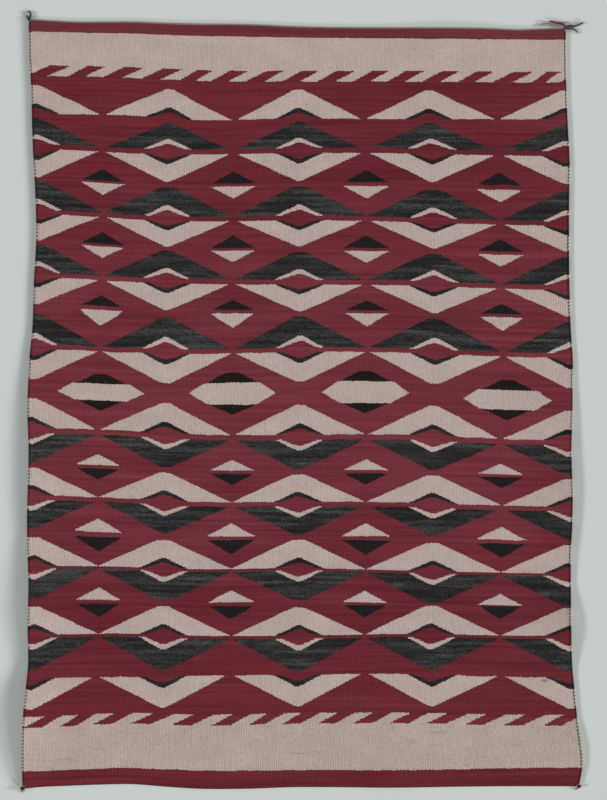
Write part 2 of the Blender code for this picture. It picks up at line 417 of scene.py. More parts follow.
@dataclass(frozen=True)
class ChartPlan:
    """Where each row of the weaving chart came to lie on the rug as it was woven."""

    cloth: ClothPlan
    end: float = 925.0
    line_half: float = 5.0
    reach: float = 70.0
    longest_row: float = 25.0
    edge_rows: tuple[float, ...] = (1.2, 3.0)
    left_run_on: float = 0.25
    right_run_on: float = 0.2

    def rows(self) -> list[ChartRow]:
        """The chart's rows whose heights on the rug are given, from the bottom up."""
        found = list(OTHER_ROWS)
        for line in LINES:
            half = line.thickness / 2
            steps = (
                (self.line_half, half),
                (self.line_half + self.reach, half + line.above),
                (-self.line_half, -half),
                (-self.line_half - self.reach, -half - line.below),
            )
            for chart, rise in steps:
                found.append(ChartRow(line.chart + chart, tuple(h + rise for h in line.heights)))
        return sorted(found)

    def mesh_rows(self) -> np.ndarray:
        """The chart heights that the cloth's mesh has rows at, from the bottom up."""
        knots = self.knots()
        found = set()
        for low, high in zip(knots, knots[1:]):
            count = math.ceil((high - low) / self.longest_row)
            found |= {round(float(c), 3) for c in np.linspace(low, high, count + 1)}
        for inset in self.edge_rows:
            found |= {inset - self.end, self.end - inset}
        return np.array(sorted(found))

    def knots(self) -> np.ndarray:
        """The chart heights of rows() and of the two ends."""
        return np.array([-self.end] + [row.chart for row in self.rows()] + [self.end])

    def heights(self, across: np.ndarray) -> np.ndarray:
        """Where the rows of rows() and the two ends lie.

        Args:
            across: Shares across the cloth, in one row.

        Returns:
            A y for each of knots() (rows) at each share (columns).
        """
        place = (across - 0.5) * self.cloth.nominal_width
        edge = self.cloth.nominal_width / 2
        stations = np.array([-edge, *(p * MM for p in PLACES), edge])
        bottom, top = self.cloth.ends(place)
        found = [bottom]
        for row in self.rows():
            first, second, *_, before, last = row.heights
            left = first + self.left_run_on * (first - second)
            right = last + self.right_run_on * (last - before)
            found.append(smooth_through(stations, np.array([left, *row.heights, right]) * MM, place))
        return np.array([*found, top])

    def height(self, across: np.ndarray, chart: np.ndarray) -> np.ndarray:
        """The y of every chart height (rows) at every share across (columns)."""
        heights = self.heights(across)
        return np.array([np.interp(chart, self.knots(), column) for column in heights.T]).T

    def chart_at(self, across: float, y: np.ndarray) -> np.ndarray:
        """The chart height at each y, for one share across the cloth."""
        return np.interp(y, self.heights(np.array([across]))[:, 0], self.knots())

    @staticmethod
    def tooth_number(place: np.ndarray, teeth: tuple[int, ...]) -> np.ndarray:
        """How many teeth lie to the left of each place, in mm, counted in parts of a tooth too."""
        starts = (teeth[0] - TOOTH_PITCH, *teeth, teeth[-1] + TOOTH_PITCH)
        return np.interp(place, starts, np.arange(len(starts), dtype=float))

    @staticmethod
    def turns(place: np.ndarray, chart: np.ndarray) -> np.ndarray:
        """Counts the triangles from the middle one's apex, in parts of a triangle too.

        Args:
            place: How far each point lies from the centre line, in mm.
            chart: Its height on the chart.

        Returns:
            0 at the middle apexes, 1 at the next ones to the right, and so on.
        """
        at = [row.chart for row in TRIANGLE_ROWS]
        apexes = [np.interp(chart, at, apex) for apex in zip(*(row.apexes for row in TRIANGLE_ROWS))]
        found = np.minimum(place - apexes[0], 0) / (apexes[1] - apexes[0]) - (len(apexes) - 1) / 2
        for apex, following in zip(apexes, apexes[1:]):
            found += np.clip((place - apex) / (following - apex), 0, 1)
        return found + np.maximum(place - apexes[-1], 0) / (apexes[-1] - apexes[-2])

    def numbers(self, x: np.ndarray, warp: np.ndarray, chart: np.ndarray) -> dict[str, np.ndarray]:
        """Everything that the charted wool reads at points of the rug.

        Args:
            x: How far each point lies from the centre line, towards the right.
            warp: Its warp, counted from the left side.
            chart: Its height on the chart.

        Returns:
            Each number by its name, single or in threes.
        """
        place = x / MM
        rows = TRIANGLE_ROWS
        at = [row.chart for row in rows]
        own = np.searchsorted(TRIANGLE_BOUNDS, chart)
        above, below = (np.array(feet)[own] for feet in ([r.above for r in rows], [r.below for r in rows]))
        eye = np.searchsorted(EYE_BOUNDS, chart)
        upper = self.tooth_number(place, TOP_TEETH)
        lower = -self.tooth_number(place, BOTTOM_TEETH)
        turn = self.turns(place, chart)
        last = len(HEXAGONS) - 1
        hexagon = np.clip(np.floor(turn).astype(int) + len(HEXAGONS) // 2, 0, last)
        return {
            "warp": warp,
            "chart": chart,
            "turn": turn,
            "hexagon": np.array(HEXAGONS)[hexagon],
            "foot": np.where(chart > np.array(at)[own], above, below),
            "tooth": np.where(chart > 0, upper, lower),
            "black_eye": np.array([(r.black_half, r.black_reach, r.rise) for r in EYE_ROWS])[eye],
            "pale_eye": np.array([(r.pale_half, r.pale_reach, r.rise) for r in EYE_ROWS])[eye],
        }


class Measure:
    """A number that a material works out at every point of the wool."""

    def __init__(self, tree: bpy.types.NodeTree, socket: bpy.types.NodeSocket) -> None:
        """Keeps the socket that gives the number."""
        self.tree = tree
        self.socket = socket

    def worked(self, operation: str, *others: Measure | float) -> Measure:
        """Works out one step.

        Args:
            operation: The step's name in Blender.
            others: The numbers that join this one in it.

        Returns:
            The outcome.
        """
        node = self.tree.nodes.new("ShaderNodeMath")
        node.operation = operation
        self.tree.links.new(self.socket, node.inputs[0])
        for place, other in enumerate(others, 1):
            plug(self.tree, other, node.inputs[place])
        return Measure(self.tree, node.outputs[0])

    def __add__(self, other: Measure | float) -> Measure:
        """The sum."""
        return self.worked("ADD", other)

    def __sub__(self, other: Measure | float) -> Measure:
        """The difference."""
        return self.worked("SUBTRACT", other)

    def __mul__(self, other: Measure | float) -> Measure:
        """The product, or both of two yes-or-no numbers."""
        return self.worked("MULTIPLY", other)

    def __truediv__(self, other: Measure | float) -> Measure:
        """The quotient."""
        return self.worked("DIVIDE", other)

    def __or__(self, other: Measure | float) -> Measure:
        """The larger, or either of two yes-or-no numbers."""
        return self.worked("MAXIMUM", other)

    def __and__(self, other: Measure | float) -> Measure:
        """The smaller."""
        return self.worked("MINIMUM", other)

    def __lt__(self, other: Measure | float) -> Measure:
        """1 where this is the smaller, or 0."""
        return self.worked("LESS_THAN", other)

    def __gt__(self, other: Measure | float) -> Measure:
        """1 where this is the larger, or 0."""
        return self.worked("GREATER_THAN", other)

    def __abs__(self) -> Measure:
        """The size without its sign."""
        return self.worked("ABSOLUTE")

    def __invert__(self) -> Measure:
        """1 less this: no for yes and yes for no."""
        return self * -1.0 + 1.0

    def floored(self) -> Measure:
        """The whole number below."""
        return self.worked("FLOOR")

    def nearest(self) -> Measure:
        """The nearest whole number."""
        return (self + 0.5).floored()

    def past(self, low: float, high: float) -> Measure:
        """How far this has come from low to high, from 0 to 1."""
        node = self.tree.nodes.new("ShaderNodeMapRange")
        node.interpolation_type = "SMOOTHSTEP"
        self.tree.links.new(self.socket, node.inputs["Value"])
        node.inputs["From Min"].default_value = low
        node.inputs["From Max"].default_value = high
        return Measure(self.tree, node.outputs["Result"])


def plug(tree: bpy.types.NodeTree, value: Measure | float, socket: bpy.types.NodeSocket) -> None:
    """Links a worked-out number to a socket, or sets a plain one there."""
    if isinstance(value, Measure):
        tree.links.new(value.socket, socket)
    else:
        socket.default_value = value


class Cloud(NamedTuple):
    """A noise in the cloth: its clouds' width and length in mm, a key of its own, and its finer layers."""

    width: float
    length: float
    key: float
    detail: float = 2.0


class Fleck(NamedTuple):
    """Stray fibres of another wool: the noise's value past which they show, and how strongly."""

    edge: float
    share: float


class WoolShader:
    """A new material, with the steps that every wool in the rug is made of."""

    def __init__(self, name: str, roughness: float, sheen: float) -> None:
        """Starts the material.

        Args:
            name: The material's name.
            roughness: How matt the wool is.
            sheen: How much its fine fibres catch the light.
        """
        self.material = bpy.data.materials.new(name)
        self.material.use_nodes = True
        self.tree = self.material.node_tree
        self.surface = self.tree.nodes["Principled BSDF"]
        self.surface.inputs["Roughness"].default_value = roughness
        self.surface.inputs["Specular IOR Level"].default_value = WOOL_SPECULAR
        self.surface.inputs["Sheen Weight"].default_value = sheen
        self.surface.inputs["Sheen Roughness"].default_value = SHEEN_ROUGHNESS

    def kept(self, name: str) -> Measure:
        """The number of this name that is kept on the wool's points."""
        node = self.tree.nodes.new("ShaderNodeAttribute")
        node.attribute_name = name
        return Measure(self.tree, node.outputs["Fac"])

    def kept_three(self, name: str) -> tuple[Measure, Measure, Measure]:
        """The three numbers of this name that are kept on the wool's points."""
        node = self.tree.nodes.new("ShaderNodeAttribute")
        node.attribute_name = name
        parts = self.tree.nodes.new("ShaderNodeSeparateXYZ")
        self.tree.links.new(node.outputs["Vector"], parts.inputs[0])
        first, second, third = (Measure(self.tree, out) for out in parts.outputs)
        return first, second, third

    def place(self) -> tuple[Measure, Measure, Measure]:
        """The x, y and z of the point, in mm."""
        where = self.tree.nodes.new("ShaderNodeTexCoord")
        parts = self.tree.nodes.new("ShaderNodeSeparateXYZ")
        self.tree.links.new(where.outputs["Object"], parts.inputs[0])
        x, y, z = (Measure(self.tree, out) * (1 / MM) for out in parts.outputs)
        return x, y, z

    def joined(self, x: Measure, y: Measure, z: Measure | float) -> bpy.types.NodeSocket:
        """Joins three numbers into one vector."""
        node = self.tree.nodes.new("ShaderNodeCombineXYZ")
        for value, socket in zip((x, y, z), node.inputs):
            plug(self.tree, value, socket)
        return node.outputs[0]

    def noise(self, x: Measure, y: Measure, z: Measure | float, detail: float = 1.0) -> Measure:
        """Soft random clouds about one unit across, from 0 to 1.

        Args:
            x: The first number, which sets the place.
            y: The second.
            z: The third, or a number that tells this noise from the others.
            detail: How many finer layers are laid on it.

        Returns:
            The noise.
        """
        node = self.tree.nodes.new("ShaderNodeTexNoise")
        self.tree.links.new(self.joined(x, y, z), node.inputs["Vector"])
        node.inputs["Scale"].default_value = 1.0
        node.inputs["Detail"].default_value = detail
        return Measure(self.tree, node.outputs["Fac"])

    def clouds(self, across: Measure, along: Measure, cloud: Cloud) -> Measure:
        """The noise that cloud describes, at distances across and along the cloth in mm."""
        return self.noise(across / cloud.width, along / cloud.length, cloud.key, detail=cloud.detail)

    def lot(self, x: Measure, y: Measure, z: Measure | float) -> Measure:
        """A number from 0 to 1 drawn for each set of three, always the same one."""
        node = self.tree.nodes.new("ShaderNodeTexWhiteNoise")
        self.tree.links.new(self.joined(x, y, z), node.inputs["Vector"])
        return Measure(self.tree, node.outputs["Value"])

    def mixed(
        self,
        share: Measure,
        first: Colour | bpy.types.NodeSocket,
        second: Colour | bpy.types.NodeSocket,
    ) -> bpy.types.NodeSocket:
        """Mixes two colours.

        Args:
            share: How much of the second, from 0 to 1.
            first: A colour, or a socket that gives one.
            second: The same.

        Returns:
            The socket that gives the mixed colour.
        """
        node = self.tree.nodes.new("ShaderNodeMix")
        node.data_type = "RGBA"
        self.tree.links.new(share.socket, node.inputs["Factor"])
        colours = [socket for socket in node.inputs if socket.type == "RGBA"]
        for colour, socket in zip((first, second), colours):
            if isinstance(colour, bpy.types.NodeSocket):
                self.tree.links.new(colour, socket)
            else:
                socket.default_value = (*colour, 1.0)
        return next(out for out in node.outputs if out.type == "RGBA")

    def finished(
        self, colour: bpy.types.NodeSocket, light: Measure, relief: Measure, roughness: Measure, depth: float
    ) -> bpy.types.Material:
        """Joins the colour, roughness and relief to the surface.

        Args:
            colour: The wool's colour.
            light: What the colour's lightness is multiplied by.
            relief: The fine relief, from 0 to 1.
            roughness: How matt the wool is.
            depth: The relief's depth.

        Returns:
            The material.
        """
        value = self.tree.nodes.new("ShaderNodeHueSaturation")
        self.tree.links.new(light.socket, value.inputs["Value"])
        self.tree.links.new(colour, value.inputs["Color"])
        self.tree.links.new(value.outputs[0], self.surface.inputs["Base Color"])
        self.tree.links.new(roughness.socket, self.surface.inputs["Roughness"])
        bump = self.tree.nodes.new("ShaderNodeBump")
        bump.inputs["Strength"].default_value = 1.0
        bump.inputs["Distance"].default_value = depth
        self.tree.links.new(relief.socket, bump.inputs["Height"])
        self.tree.links.new(bump.outputs[0], self.surface.inputs["Normal"])
        return self.material


@dataclass(frozen=True)
class TriangleMotif:
    """The pairs of stacked triangles on each red line, on the chart."""

    first_line: float = 102.5
    line_step: float = 163.0
    lines: int = 4
    line_half: float = 5.0
    reach: float = 70.0
    period: float = 77.0
    fall: float = 35.0
    small_reach: float = 0.37
    small_peak: float = 0.40
    small_half: float = 14.0
    lens_reach: float = 0.205
    lens_peak: float = 0.23
    lens_half: float = 10.5
    end_line: float = 678.0
    end_from: float = 672.0


@dataclass(frozen=True)
class EyeMotif:
    """The small pale and dark wedges between four triangles."""

    first: float = 184.0
    step: float = 163.0
    count: int = 3
    start: float = 4.0


@dataclass(frozen=True)
class HexagonMotif:
    """The hexagons along the rug's middle: a pale body between two black caps."""

    half_width: float = 25.1
    pale_slope: float = 0.38
    skew: float = 0.03
    cap_height: float = 24.0
    cap_width: float = 14.2
    cap_fall: float = 12.2


@dataclass(frozen=True)
class ToothMotif:
    """The leaning teeth between the field and the pale bands."""

    floor: float = 777.0
    top: float = 798.0
    band_end: float = 890.0
    pitch: float = 20.7
    lean: float = 11.8
    width: float = 10.5


@dataclass(frozen=True)
class ClothNoises:
    """The noises in the cloth's wool: how the weaving wanders, how the dye took, how it got dirty, and
    painted rib shade.
    """

    wander_across: Cloud = Cloud(width=42.0, length=23.0, key=3.1, detail=1.0)
    wander_along: Cloud = Cloud(width=31.0, length=60.0, key=8.7, detail=1.0)
    streak: Cloud = Cloud(width=130.0, length=3.2, key=1.7)
    abrash: Cloud = Cloud(width=420.0, length=7.0, key=11.3)
    patch: Cloud = Cloud(width=260.0, length=70.0, key=5.3)
    band: Cloud = Cloud(width=170.0, length=9.0, key=13.1)
    heather: Cloud = Cloud(width=21.0, length=1.7, key=6.1)
    # Narrow streaks along the warps, painted into the pale wool as rib shade
    ribbed: Cloud = Cloud(width=4.4, length=15.0, key=4.4)
    cloudy: Cloud = Cloud(width=95.0, length=50.0, key=7.9)
    sooty: Cloud = Cloud(width=190.0, length=38.0, key=17.7, detail=1.0)
    lint: Cloud = Cloud(width=2.1, length=3.4, key=9.2, detail=1.0)
    hair: Cloud = Cloud(width=62.0, length=2.6, key=15.4, detail=1.0)
    fibre: Cloud = Cloud(width=0.9, length=0.35, key=2.2)


@dataclass(frozen=True)
class WeavingChart:
    """The rug's pattern, dyed into the weft.

    It has the red field, the pale and dark triangles, the eyes, the hexagons, the teeth and the bands.
    """

    red: Colour = (0.158, 0.019, 0.027)
    red_worn: Colour = (0.205, 0.037, 0.049)
    red_deep: Colour = (0.122, 0.012, 0.020)
    pale: Colour = (0.625, 0.501, 0.453)
    pale_grey: Colour = (0.49, 0.392, 0.352)
    dark: Colour = (0.016, 0.015, 0.017)
    dark_grey: Colour = (0.080, 0.076, 0.076)
    black: Colour = (0.0125, 0.0088, 0.0065)
    ink: Colour = (0.0135, 0.0110, 0.0135)
    triangles: TriangleMotif = field(default_factory=TriangleMotif)
    eyes: EyeMotif = field(default_factory=EyeMotif)
    hexagons: HexagonMotif = field(default_factory=HexagonMotif)
    teeth: ToothMotif = field(default_factory=ToothMotif)
    noises: ClothNoises = field(default_factory=ClothNoises)
    inner_share: float = 0.6
    smudge: tuple[float, float] = (295.0, -685.0)
    smudge_half: tuple[float, float] = (2.4, 4.5)
    worn_middle: tuple[float, float] = (150.0, 620.0)
    dark_lint: Fleck = Fleck(edge=0.765, share=0.6)
    pale_lint: Fleck = Fleck(edge=0.215, share=0.5)
    dark_hair: Fleck = Fleck(edge=0.735, share=0.45)
    red_hair: Fleck = Fleck(edge=0.27, share=0.2)
    faded: float = 0.035
    roughness: float = 0.92
    sheen: float = 0.02
    relief: float = 0.35 * MM
    warp_wander: float = 1.1
    chart_wander: float = 3.6

    def motifs(self, shader: WoolShader, shift: Measure, chart: Measure) -> tuple[Measure, ...]:
        """Reads the chart.

        Args:
            shader: The material it is for.
            shift: How many warps to the right of the point the chart is read.
            chart: The height on the chart.

        Returns:
            Where the wool is pale, dark, black, and inky as in the eyes, from 0 for no to 1 for yes.
        """
        t, e, h = self.triangles, self.eyes, self.hexagons
        far = abs(chart)
        turns = shader.kept("turn") + shift / t.period
        from_apex = abs(turns - turns.nearest()) * t.period
        from_waist = from_apex * -1.0 + t.period / 2

        line = ((((far - t.first_line) / t.line_step).nearest()) | 0.0) & float(t.lines - 1)
        beyond = far - line * t.line_step - t.first_line
        at_end = far > t.end_from
        share = (abs(beyond) - t.line_half) / t.reach
        share = share * ~at_end + ((far - t.end_line) / t.reach) * at_end
        above = share > 0.0
        outer = above * (share < (((from_apex * -1.0 + shader.kept("foot")) / t.fall) & 1.0))
        small = above * (share < (((~(from_apex / t.small_half)) * t.small_peak) & t.small_reach))
        lens = above * (share < (((~(from_apex / t.lens_half)) * t.lens_peak) & t.lens_reach))
        pale_outside = (beyond < 0.0) | at_end
        is_pale = abs(pale_outside - small)
        shown = outer * ~lens
        pale = shown * is_pale
        dark = shown * ~is_pale
        inner = dark * small * self.inner_share

        eye = ((((far - e.first) / e.step).nearest()) | 0.0) & float(e.count - 1)
        half, reach, rise = shader.kept_three("black_eye")
        off = far - eye * e.step - e.first - rise
        wedge = (~(from_waist / half)) * reach
        inky = inner | (off > e.start) * (off < wedge + e.start)
        half, reach, _ = shader.kept_three("pale_eye")
        wedge = (~(from_waist / half)) * reach
        pale = pale | (off < -e.start) * (off > wedge * -1.0 - e.start)

        aside, drop, pale_half = shader.kept_three("hexagon")
        raised = chart + drop
        from_middle = abs((turns - turns.floored() - 0.5) * t.period - aside) - raised * h.skew
        high = abs(raised)
        past = high - pale_half
        pale = pale | (past < 0.0) * (from_middle < high * -h.pale_slope + h.half_width)
        cap = from_middle < past * (-h.cap_fall / h.cap_height) + h.cap_width
        black = (past > 0.0) * (past < h.cap_height) * cap
        return pale | self.pale_ends(shader, shift, chart), dark, black, inky

    def pale_ends(self, shader: WoolShader, shift: Measure, chart: Measure) -> Measure:
        """Where the pale bands and the teeth between them and the field are.

        Args:
            shader: The material it is for.
            shift: How many warps to the right of the point the chart is read.
            chart: The height on the chart.

        Returns:
            A yes-or-no number.
        """
        t = self.teeth
        far = abs(chart)
        towards = (chart > 0.0) * 2.0 - 1.0
        share = (far - t.floor) / (t.top - t.floor)
        turns = shader.kept("tooth") + (shift * towards - share * t.lean) / t.pitch
        tooth = (turns - turns.floored()) * t.pitch < t.width
        toothed = (far > t.floor) * (far < t.top) * ~tooth
        return toothed | (far > t.top) * (far < t.band_end)

    def material(self) -> bpy.types.Material:
        """Weaves the chart into a material that reads the numbers kept on the wool."""
        shader = WoolShader("charted_wool", self.roughness, self.sheen)
        warp, chart = shader.kept("warp"), shader.kept("chart")
        rib = warp.floored()
        odd = rib - (rib * 0.5).floored() * 2.0
        shift = odd * (WEFT_PAIR / 2)
        pass_number = ((chart + shift) / WEFT_PAIR).floored()
        woven = pass_number * WEFT_PAIR + WEFT_PAIR / 2 - shift

        n = self.noises
        across = warp * WARP_PITCH
        wander_across = shader.clouds(across, woven, n.wander_across) - 0.5
        wander_along = shader.clouds(across, woven, n.wander_along) - 0.5
        pale, dark, black, inky = self.motifs(
            shader,
            rib + 0.5 - warp + wander_across * self.warp_wander,
            woven + wander_along * self.chart_wander,
        )

        # Dye: long streaks along the weft, grey heather in the undyed dark wool, and grey soil with painted
        # rib shade in the pale wool
        streak = shader.clouds(across, woven, n.streak)
        abrash = shader.clouds(across, woven, n.abrash) - 0.5
        patch = shader.clouds(across, woven, n.patch)
        band = shader.clouds(across, woven, n.band)
        heather = shader.clouds(across, woven, n.heather)
        bead = shader.lot(rib, pass_number, 1.0)
        middle = ~(abs(chart).past(*self.worn_middle))
        worn = (streak * 0.7 + patch * 0.6 - 0.4 + middle * 0.27).past(0.1, 0.75)
        reds = shader.mixed(worn, self.red, self.red_worn)
        reds = shader.mixed((streak - 0.5).past(0.08, 0.3) * 0.5, reds, self.red_deep)
        ribbed = shader.clouds(across, chart, n.ribbed)
        cloudy = shader.clouds(across, chart, n.cloudy)
        low_band = (chart < -self.teeth.floor) * 0.09
        # Pale wool greys in cloudy patches, in single beads and more in the bottom band, and in narrow
        # streaks along the warps that are painted rib shade
        soil_and_rib_shade = (ribbed * 0.5 + cloudy * 0.5 + bead * 0.36 + low_band - 0.24).past(0.14, 0.76)
        pales = shader.mixed(soil_and_rib_shade, self.pale, self.pale_grey)
        greyed = (heather * 0.6 + band * 0.8 + bead * 0.16 - 0.35).past(0.26, 0.72)
        darks = shader.mixed(greyed, self.dark, self.dark_grey)
        sooty = shader.clouds(across, chart, n.sooty)
        darks = shader.mixed(sooty.past(0.5, 0.66) * 0.6, darks, self.ink)

        faded = (chart > self.teeth.band_end) * self.faded
        colour = shader.mixed(faded, reds, self.pale_grey)
        colour = shader.mixed(pale, colour, pales)
        colour = shader.mixed(dark, colour, darks)
        colour = shader.mixed(black, colour, self.black)
        colour = shader.mixed(inky, colour, self.ink)
        lint = shader.clouds(across, chart, n.lint)
        shown = (lint > self.dark_lint.edge) * pale * self.dark_lint.share
        colour = shader.mixed(shown, colour, self.dark_grey)
        shown = (lint < self.pale_lint.edge) * ~pale * self.pale_lint.share
        colour = shader.mixed(shown, colour, self.pale_grey)
        hair = shader.clouds(across, chart, n.hair)
        low_pale = (chart < -self.teeth.top) * pale
        shown = (hair > self.dark_hair.edge) * low_pale * self.dark_hair.share
        colour = shader.mixed(shown, colour, self.dark_grey)
        shown = (hair < self.red_hair.edge) * low_pale * self.red_hair.share
        colour = shader.mixed(shown, colour, self.red_worn)
        aside = (warp - self.smudge[0]) / self.smudge_half[0]
        beside = (chart - self.smudge[1]) / self.smudge_half[1]
        dirt = (~(aside * aside + beside * beside)).past(0.0, 0.8)
        colour = shader.mixed(dirt * cloudy, colour, self.dark_grey)

        # Relief: each pass of the weft rides over one warp as a bead, and the bead's dome also paints shade
        # into the colour towards its edges
        in_rib = abs(warp - rib - 0.5) * 2.0
        in_pass = abs((chart + shift) / WEFT_PAIR - pass_number - 0.5) * 2.0
        dome = ~(in_rib * in_rib) * ~(in_pass * in_pass * 0.55)
        fibre = shader.clouds(across, chart, n.fibre)
        grained = (bead - 0.5) * (pale * 0.26 + 0.1)
        deeper = (abs(chart) > self.teeth.band_end) * -0.06
        # The dome term is painted shade between the beads; fibres, single beads, abrash and the darker end
        # bands are the wool's own tone
        light = dome * 0.2 + fibre * 0.12 + grained + abrash * ~pale * 1.1 + deeper + 0.83
        rough = fibre * 0.14 + 0.84
        return shader.finished(colour, light, dome + fibre * 0.35, rough, self.relief)


@dataclass(frozen=True)
class YarnFinish:
    """Plain dyed yarn: its colour, its lighter fibres, and how strongly both show."""

    name: str
    colour: Colour
    fibres: Colour
    roughness: float = 0.93
    sheen: float = 0.08
    relief: float = 0.25 * MM
    cloud_size: float = 7.0
    fibre_size: float = 0.7

    def material(self) -> bpy.types.Material:
        """Spins the finish into a material."""
        shader = WoolShader(self.name, self.roughness, self.sheen)
        x, y, z = shader.place()
        wide, fine = self.cloud_size, self.fibre_size
        cloud = shader.noise(x / wide, y / wide, z / wide, detail=2.0)
        fibre = shader.noise(x / fine, y / fine, z / fine, detail=3.0)
        colour = shader.mixed((fibre * 0.8 + cloud * 0.5 - 0.3).past(0.15, 0.7), self.colour, self.fibres)
        light = fibre * 0.3 + 0.85
        rough = fibre * 0.12 + 0.86
        return shader.finished(colour, light, fibre, rough, self.relief)


class Wool(Enum):
    """The yarns that the cords and knots are made of."""

    BLACK = YarnFinish("black_yarn", (0.010, 0.009, 0.009), (0.030, 0.028, 0.028))
    DARK = YarnFinish("dark_yarn", (0.026, 0.025, 0.026), (0.085, 0.080, 0.080))
    RED = YarnFinish("red_yarn", (0.150, 0.022, 0.032), (0.235, 0.060, 0.072))
    DEEP_RED = YarnFinish("deep_red_yarn", (0.105, 0.020, 0.028), (0.150, 0.035, 0.042))
    GREY = YarnFinish("grey_yarn", (0.27, 0.25, 0.245), (0.42, 0.39, 0.38))
    PALE = YarnFinish("pale_yarn", (0.50, 0.42, 0.38), (0.62, 0.53, 0.49))


class Basket:
    """The rug's materials, each made once."""

    def __init__(self) -> None:
        """Starts empty."""
        self.made: dict[str, bpy.types.Material] = {}

    def chart(self) -> bpy.types.Material:
        """The charted wool of the cloth."""
        if "chart" not in self.made:
            self.made["chart"] = WeavingChart().material()
        return self.made["chart"]

    def yarn(self, wool: Wool) -> bpy.types.Material:
        """One of the plain yarns."""
        if wool.name not in self.made:
            self.made[wool.name] = wool.value.material()
        return self.made[wool.name]


def keep_numbers(data: bpy.types.Mesh, numbers: dict[str, np.ndarray]) -> None:
    """Keeps the chart's numbers on a mesh's points.

    Args:
        data: The mesh.
        numbers: Each number's name and its value, or three, at each point.
    """
    for name, values in numbers.items():
        single = values.ndim == 1
        kept = data.attributes.new(name, "FLOAT" if single else "FLOAT_VECTOR", "POINT")
        kept.data.foreach_set("value" if single else "vector", np.asarray(values, np.float32).ravel())


def add_piece(name: str, data: bpy.types.Mesh, slot: str, *nodes: str) -> bpy.types.Object:
    """Puts a piece of the rug in the scene.

    Args:
        name: The piece's name.
        data: Its mesh, with its materials.
        slot: The name of a material slot; not used.
        nodes: The solids that it stands for.

    Returns:
        The piece.
    """
    piece = bpy.data.objects.new(name, data)
    bpy.context.scene.collection.objects.link(piece)
    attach(piece, "root")
    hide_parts(*nodes)
    return piece


